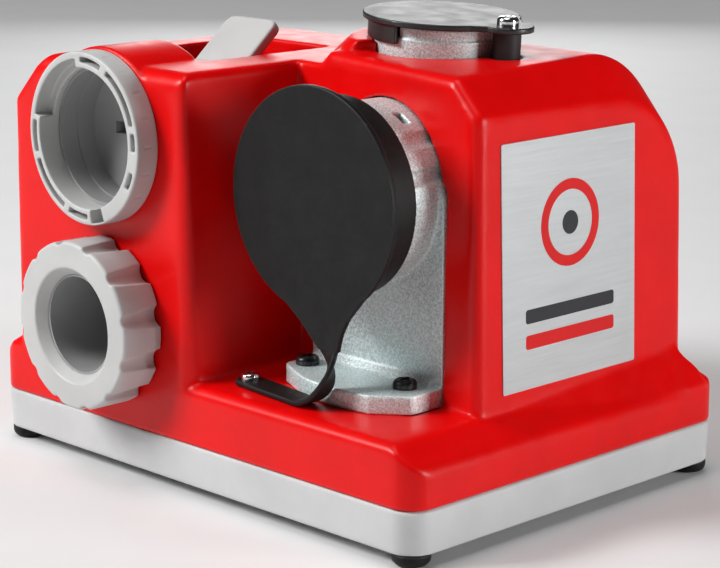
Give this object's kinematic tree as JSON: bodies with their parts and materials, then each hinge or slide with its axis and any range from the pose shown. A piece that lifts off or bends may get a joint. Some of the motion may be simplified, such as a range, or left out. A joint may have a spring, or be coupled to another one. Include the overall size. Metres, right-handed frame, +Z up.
{
  "type": "drill bit sharpener",
  "caption": "Bench drill bit sharpener: red two-tower housing on a grey tray, alignment port with lever, fluted knob, capped front port and a roof port with swivel cover.",
  "frame": {"origin": "on the bench, under the middle of the bounding box", "axes": "+Z up, +Y to the rear, +X to the right of a user facing the ports"},
  "size_m": [0.25, 0.2008, 0.1911],
  "materials": {
    "red_plastic": "satin moulded red",
    "grey_plastic": "light grey moulded",
    "dark_plastic": "dark grey moulded",
    "black_rubber": "matt rubber",
    "cast_aluminium": "rough as-cast",
    "machined_steel": "turned",
    "chrome_steel": "bright plated",
    "black_oxide": "black oxide",
    "silver_foil": "brushed silver plate",
    "sheet_steel": "zinc plated",
    "motor_paint": "dark enamel",
    "abrasive": "bonded abrasive",
    "spring_steel": "drawn wire"
  },
  "bodies": {
    "housing": {"base_tray": "grey_plastic", "rubber_feet": "black_rubber", "foot_screws": "sheet_steel", "top_housing": "red_plastic", "housing_screws": "sheet_steel", "alignment_port_ring": "grey_plastic", "alignment_port_cup": "dark_plastic", "lever_pin": "machined_steel", "lever_spring": "spring_steel", "knob_sleeve": "dark_plastic", "front_port_bracket": "cast_aluminium", "front_port_liner": "machined_steel", "bracket_screws": "black_oxide", "front_cap_strap": "black_rubber", "strap_screw": "chrome_steel", "top_port_ring": "cast_aluminium", "cover_post": "black_rubber", "cover_screw": "chrome_steel", "motor_can": "motor_paint", "motor_end_caps": "cast_aluminium", "motor_bearings": "machined_steel", "motor_cradle": "sheet_steel", "cradle_screws": "sheet_steel", "run_capacitor": "dark_plastic", "switch_bezel": "dark_plastic", "cord_gland": "dark_plastic", "name_plate": "silver_foil"},
    "spindle": {"spindle_shaft": "machined_steel", "cooling_fan": "dark_plastic", "grinding_wheel": "abrasive", "wheel_flanges": "machined_steel", "wheel_nut": "sheet_steel"},
    "knob": {"setting_knob": "grey_plastic"},
    "front_cap": {"front_cap": "black_rubber"},
    "top_cover": {"top_cover": "black_rubber"},
    "lever": {"alignment_lever": "grey_plastic"},
    "claw_left": {"claw_left": "machined_steel"},
    "claw_right": {"claw_right": "machined_steel"},
    "rocker": {"switch_rocker": "dark_plastic"}
  },
  "joints": [
    {"name": "spindle_spin", "type": "hinge", "parent": "housing", "child": "spindle", "pos_m": [0, 0.0336, 0.106], "axis": [1, 0, 0], "continuous": true},
    {"name": "knob_turn", "type": "hinge", "parent": "housing", "child": "knob", "pos_m": [-0.0483, -0.0904, 0.0653], "axis": [0, 1, 0], "range_deg": [-150, 150]},
    {"name": "front_cap_pull", "type": "slide", "parent": "housing", "child": "front_cap", "axis": [0, -1, 0], "range_m": [0, 0.022], "deforming": ["front_cap_strap"]},
    {"name": "top_cover_swing", "type": "hinge", "parent": "housing", "child": "top_cover", "pos_m": [0.07613, 0.01981, 0.17302], "axis": [0.0629, -0.005, 0.998], "range_deg": [0, 105]},
    {"name": "lever_press", "type": "hinge", "parent": "housing", "child": "lever", "pos_m": [-0.04825, -0.0234, 0.16], "axis": [-1, 0, 0], "range_deg": [0, 18], "stiffness_Nm_per_rad": 0.4, "springref_deg": -8.59, "deforming": ["lever_spring"]},
    {"name": "claw_left_slide", "type": "slide", "parent": "housing", "child": "claw_left", "axis": [-1, 0, 0], "range_m": [0, 0.003]},
    {"name": "claw_right_slide", "type": "slide", "parent": "housing", "child": "claw_right", "axis": [1, 0, 0], "range_m": [0, 0.003]},
    {"name": "rocker_tip", "type": "hinge", "parent": "housing", "child": "rocker", "pos_m": [0.07, 0.0856, 0.129], "axis": [1, 0, 0], "range_deg": [0, 12]}
  ],
  "couplings": [
    {"joint": "claw_left_slide", "follows": "lever_press", "m_per_rad": 0.0095493},
    {"joint": "claw_right_slide", "follows": "lever_press", "m_per_rad": 0.0095493}
  ]
}
